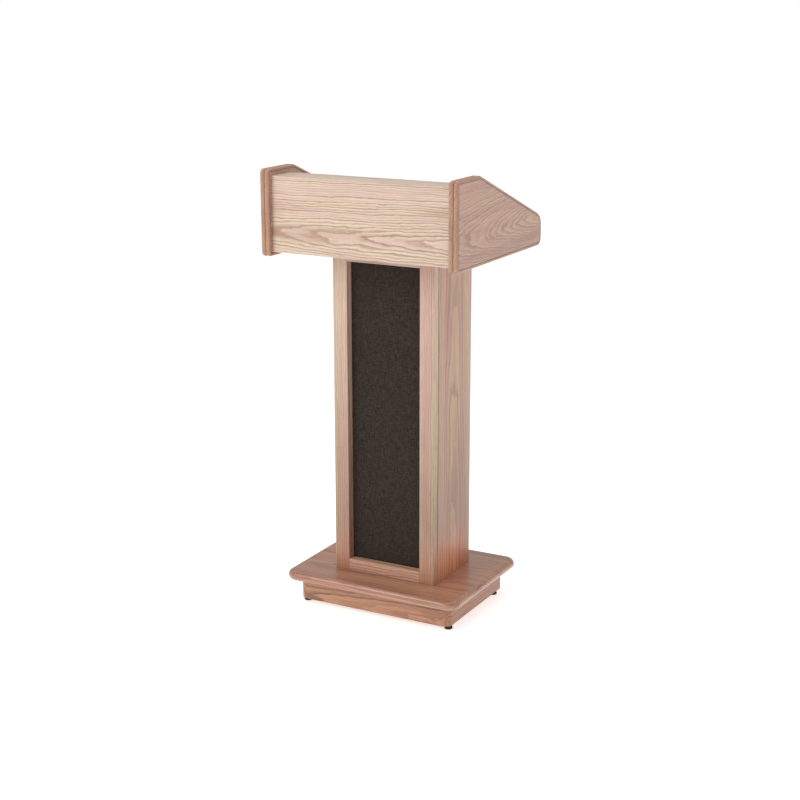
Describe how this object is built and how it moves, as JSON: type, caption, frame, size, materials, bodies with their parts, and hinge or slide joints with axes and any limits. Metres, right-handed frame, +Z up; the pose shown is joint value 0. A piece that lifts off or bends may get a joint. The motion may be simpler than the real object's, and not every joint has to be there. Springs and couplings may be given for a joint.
{
  "type": "presentation lectern",
  "caption": "Free-standing wooden lectern with a sloped reading head, a column with a loudspeaker grille, a rear door, an amplifier panel and a wide base on levelling glides.",
  "frame": {"origin": "on the floor, under the centre of the head's outline seen from above", "axes": "+Z up, -Y towards the audience, +Y towards the presenter, +X to the presenter's left"},
  "size_m": [0.563, 0.508, 1.195],
  "materials": {
    "oak_head": "satin lacquered red-oak veneer",
    "oak_column": "satin lacquered red-oak veneer, upright grain",
    "oak_edge": "satin lacquered solid red oak",
    "oak_base": "satin lacquered solid red oak",
    "pine": "bare softwood",
    "grille_cloth": "open woven acoustic cloth",
    "black_board": "black stained fibreboard",
    "glide_black": "moulded nylon",
    "black_plastic": "fine moulded texture",
    "speaker_steel": "black painted pressed steel",
    "speaker_cone": "pressed paper",
    "speaker_rubber": "matte",
    "ferrite": "sintered",
    "steel": "zinc plated",
    "brass": "lacquered",
    "catch_brown": "moulded",
    "amp_sheet": "folded sheet",
    "amp_panel": "powder coated, fine texture",
    "circuit": "solder mask",
    "lens_red": "clear red"
  },
  "bodies": {
    "cabinet": {"base_plate": "oak_base", "plinth_front": "oak_base", "plinth_rear": "oak_base", "plinth_left": "oak_base", "plinth_right": "oak_base", "glue_blocks": "pine", "glide_inserts": "brass", "column_side_left": "oak_column", "column_side_right": "oak_column", "stile_front_left": "oak_column", "stile_front_right": "oak_column", "rear_stiles": "oak_column", "front_rails": "oak_column", "rear_rails": "oak_column", "column_shelf": "oak_column", "grille_frame": "black_board", "grille_cloth": "grille_cloth", "grille_studs": "black_plastic", "speaker_baffle": "black_board", "driver_frames": "speaker_steel", "driver_cones": "speaker_cone", "driver_surrounds": "speaker_rubber", "driver_magnets": "ferrite", "panel_screws": "steel", "speaker_lead": "black_plastic", "hinge_frame_leaves": "brass", "hinge_pins": "steel", "magnetic_catch": "catch_brown", "amp_chassis": "amp_sheet", "amp_faceplate": "amp_panel", "amp_board": "circuit", "rocker_housing": "black_plastic", "pilot_lens": "lens_red", "jack_sockets": "steel", "mains_inlet": "black_plastic", "head_side_left": "oak_head", "head_side_right": "oak_head", "head_edge_left": "oak_edge", "head_edge_right": "oak_edge", "head_front_panel": "oak_head", "head_ledge": "oak_head", "reading_surface": "oak_head", "book_stop": "oak_edge", "head_rear_board": "oak_head", "head_bottom_panel": "oak_head", "assembly_screws": "steel"},
    "door": {"rear_door": "oak_column", "door_pull": "oak_edge", "hinge_door_leaves": "brass", "lock_body": "steel", "catch_strike": "steel"},
    "lock_plug": {"lock_cam": "steel"},
    "rocker": {"power_rocker": "black_plastic"},
    "mic_knob": {"knob_mic": "black_plastic"},
    "aux_knob": {"knob_aux": "black_plastic"},
    "tone_knob": {"knob_tone": "black_plastic"},
    "glide_front_left": {"glide_front_left": "glide_black"},
    "glide_front_right": {"glide_front_right": "glide_black"},
    "glide_rear_left": {"glide_rear_left": "glide_black"},
    "glide_rear_right": {"glide_rear_right": "glide_black"}
  },
  "joints": [
    {"name": "door_hinge", "type": "hinge", "parent": "cabinet", "child": "door", "pos_m": [-0.12, 0.1026, 0.45], "axis": [0, 0, 1], "range_deg": [0, 175]},
    {"name": "lock_turn", "type": "hinge", "parent": "door", "child": "lock_plug", "pos_m": [0.095, 0.099, 0.56], "axis": [0, 1, 0], "range_deg": [0, 90]},
    {"name": "power_switch", "type": "hinge", "parent": "cabinet", "child": "rocker", "pos_m": [0.062, 0.1, 0.89], "axis": [1, 0, 0], "range_deg": [0, 16]},
    {"name": "mic_turn", "type": "hinge", "parent": "cabinet", "child": "mic_knob", "pos_m": [-0.084, 0.102, 0.89], "axis": [0, 1, 0], "range_deg": [-150, 150]},
    {"name": "aux_turn", "type": "hinge", "parent": "cabinet", "child": "aux_knob", "pos_m": [-0.038, 0.102, 0.89], "axis": [0, 1, 0], "range_deg": [-150, 150]},
    {"name": "tone_turn", "type": "hinge", "parent": "cabinet", "child": "tone_knob", "pos_m": [0.008, 0.102, 0.89], "axis": [0, 1, 0], "range_deg": [-150, 150]},
    {"name": "glide_front_left_turn", "type": "hinge", "parent": "cabinet", "child": "glide_front_left", "pos_m": [-0.2165, -0.156, 0], "axis": [0, 0, 1], "range_deg": [-360, 360]},
    {"name": "glide_front_right_turn", "type": "hinge", "parent": "cabinet", "child": "glide_front_right", "pos_m": [0.2165, -0.156, 0], "axis": [0, 0, 1], "range_deg": [-360, 360]},
    {"name": "glide_rear_left_turn", "type": "hinge", "parent": "cabinet", "child": "glide_rear_left", "pos_m": [-0.2165, 0.12, 0], "axis": [0, 0, 1], "range_deg": [-360, 360]},
    {"name": "glide_rear_right_turn", "type": "hinge", "parent": "cabinet", "child": "glide_rear_right", "pos_m": [0.2165, 0.12, 0], "axis": [0, 0, 1], "range_deg": [-360, 360]}
  ]
}
